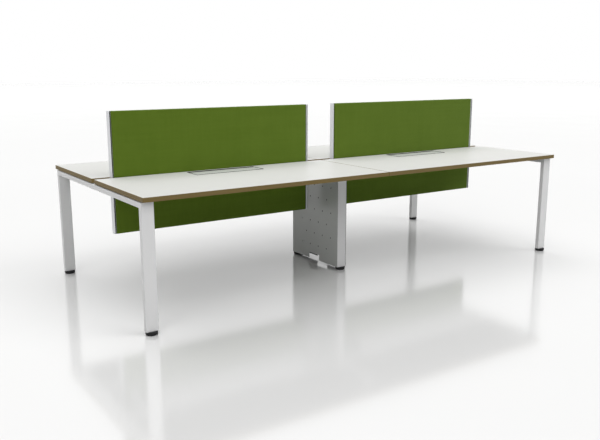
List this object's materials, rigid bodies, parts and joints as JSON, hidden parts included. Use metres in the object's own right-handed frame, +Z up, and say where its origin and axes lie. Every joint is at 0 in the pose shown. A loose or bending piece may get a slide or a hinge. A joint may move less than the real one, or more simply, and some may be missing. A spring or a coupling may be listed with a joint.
{
  "type": "office workstation desk",
  "caption": "Double-sided bench desk with white worktops, hinged cable flaps, steel goal-post legs, a perforated centre leg and green fabric screens along the middle.",
  "frame": {"origin": "on the floor under the middle of the desk", "axes": "+X along the desk, -Y the front that the picture shows, +Z up"},
  "size_m": [3.202, 1.484, 1.114],
  "materials": {
    "white_board": "particle board faced with fine-textured white laminate",
    "brown_edge": "brown plastic edge band, satin",
    "white_metal": "white powder coat, fine texture, satin",
    "grey_metal": "light grey powder coat on sheet steel, satin",
    "white_flap": "extruded aluminium, white powder coat",
    "light_aluminium": "silver anodised extrusion",
    "green_fabric": "olive green woven cloth, matt",
    "black_plastic": "black moulded nylon",
    "steel": "bright zinc-plated steel"
  },
  "bodies": {
    "desk": {"worktop_front_left": "white_board", "edge_band_front_left": "brown_edge", "flap_frame_front_left": "black_plastic", "leg_front_left": "white_metal", "long_beam_front_left": "white_metal", "cable_tray_front_left": "white_metal", "worktop_front_right": "white_board", "edge_band_front_right": "brown_edge", "flap_frame_front_right": "black_plastic", "leg_front_right": "white_metal", "long_beam_front_right": "white_metal", "cable_tray_front_right": "white_metal", "worktop_rear_left": "white_board", "edge_band_rear_left": "brown_edge", "flap_frame_rear_left": "black_plastic", "leg_rear_left": "white_metal", "long_beam_rear_left": "white_metal", "cable_tray_rear_left": "white_metal", "worktop_rear_right": "white_board", "edge_band_rear_right": "brown_edge", "flap_frame_rear_right": "black_plastic", "leg_rear_right": "white_metal", "long_beam_rear_right": "white_metal", "cable_tray_rear_right": "white_metal", "end_beam_left": "white_metal", "centre_panel_left": "grey_metal", "screen_panel_left": "green_fabric", "screen_profile_left_inner": "light_aluminium", "screen_profile_left_outer": "light_aluminium", "end_beam_right": "white_metal", "centre_panel_right": "grey_metal", "screen_panel_right": "green_fabric", "screen_profile_right_inner": "light_aluminium", "screen_profile_right_outer": "light_aluminium", "centre_upright_front": "white_metal", "centre_arm_front": "white_metal", "centre_upright_rear": "white_metal", "centre_arm_rear": "white_metal", "centre_head_rail": "white_metal", "worktop_brackets": "white_metal", "screen_brackets": "white_metal", "flap_hinge_rods": "steel", "leg_inserts": "black_plastic"},
    "flap_front_left": {"cable_flap_front_left": "white_flap"},
    "flap_front_right": {"cable_flap_front_right": "white_flap"},
    "flap_rear_left": {"cable_flap_rear_left": "white_flap"},
    "flap_rear_right": {"cable_flap_rear_right": "white_flap"},
    "foot_front_left": {"foot_pad_front_left": "black_plastic", "foot_stud_front_left": "steel"},
    "foot_front_right": {"foot_pad_front_right": "black_plastic", "foot_stud_front_right": "steel"},
    "foot_rear_left": {"foot_pad_rear_left": "black_plastic", "foot_stud_rear_left": "steel"},
    "foot_rear_right": {"foot_pad_rear_right": "black_plastic", "foot_stud_rear_right": "steel"},
    "foot_centre_front": {"foot_pad_centre_front": "black_plastic", "foot_stud_centre_front": "steel"},
    "foot_centre_rear": {"foot_pad_centre_rear": "black_plastic", "foot_stud_centre_rear": "steel"}
  },
  "joints": [
    {"name": "flap_front_left_hinge", "type": "hinge", "parent": "desk", "child": "flap_front_left", "pos_m": [-0.801, -0.18129, 0.725], "axis": [1, 0, 0], "range_deg": [0, 105]},
    {"name": "flap_front_right_hinge", "type": "hinge", "parent": "desk", "child": "flap_front_right", "pos_m": [0.801, -0.18129, 0.725], "axis": [1, 0, 0], "range_deg": [0, 105]},
    {"name": "flap_rear_left_hinge", "type": "hinge", "parent": "desk", "child": "flap_rear_left", "pos_m": [-0.801, 0.18129, 0.725], "axis": [-1, 0, 0], "range_deg": [0, 105]},
    {"name": "flap_rear_right_hinge", "type": "hinge", "parent": "desk", "child": "flap_rear_right", "pos_m": [0.801, 0.18129, 0.725], "axis": [-1, 0, 0], "range_deg": [0, 105]},
    {"name": "foot_front_left_height", "type": "slide", "parent": "desk", "child": "foot_front_left", "axis": [0, 0, -1], "range_m": [0, 0.015]},
    {"name": "foot_front_right_height", "type": "slide", "parent": "desk", "child": "foot_front_right", "axis": [0, 0, -1], "range_m": [0, 0.015]},
    {"name": "foot_rear_left_height", "type": "slide", "parent": "desk", "child": "foot_rear_left", "axis": [0, 0, -1], "range_m": [0, 0.015]},
    {"name": "foot_rear_right_height", "type": "slide", "parent": "desk", "child": "foot_rear_right", "axis": [0, 0, -1], "range_m": [0, 0.015]},
    {"name": "foot_centre_front_height", "type": "slide", "parent": "desk", "child": "foot_centre_front", "axis": [0, 0, -1], "range_m": [0, 0.015]},
    {"name": "foot_centre_rear_height", "type": "slide", "parent": "desk", "child": "foot_centre_rear", "axis": [0, 0, -1], "range_m": [0, 0.015]}
  ]
}
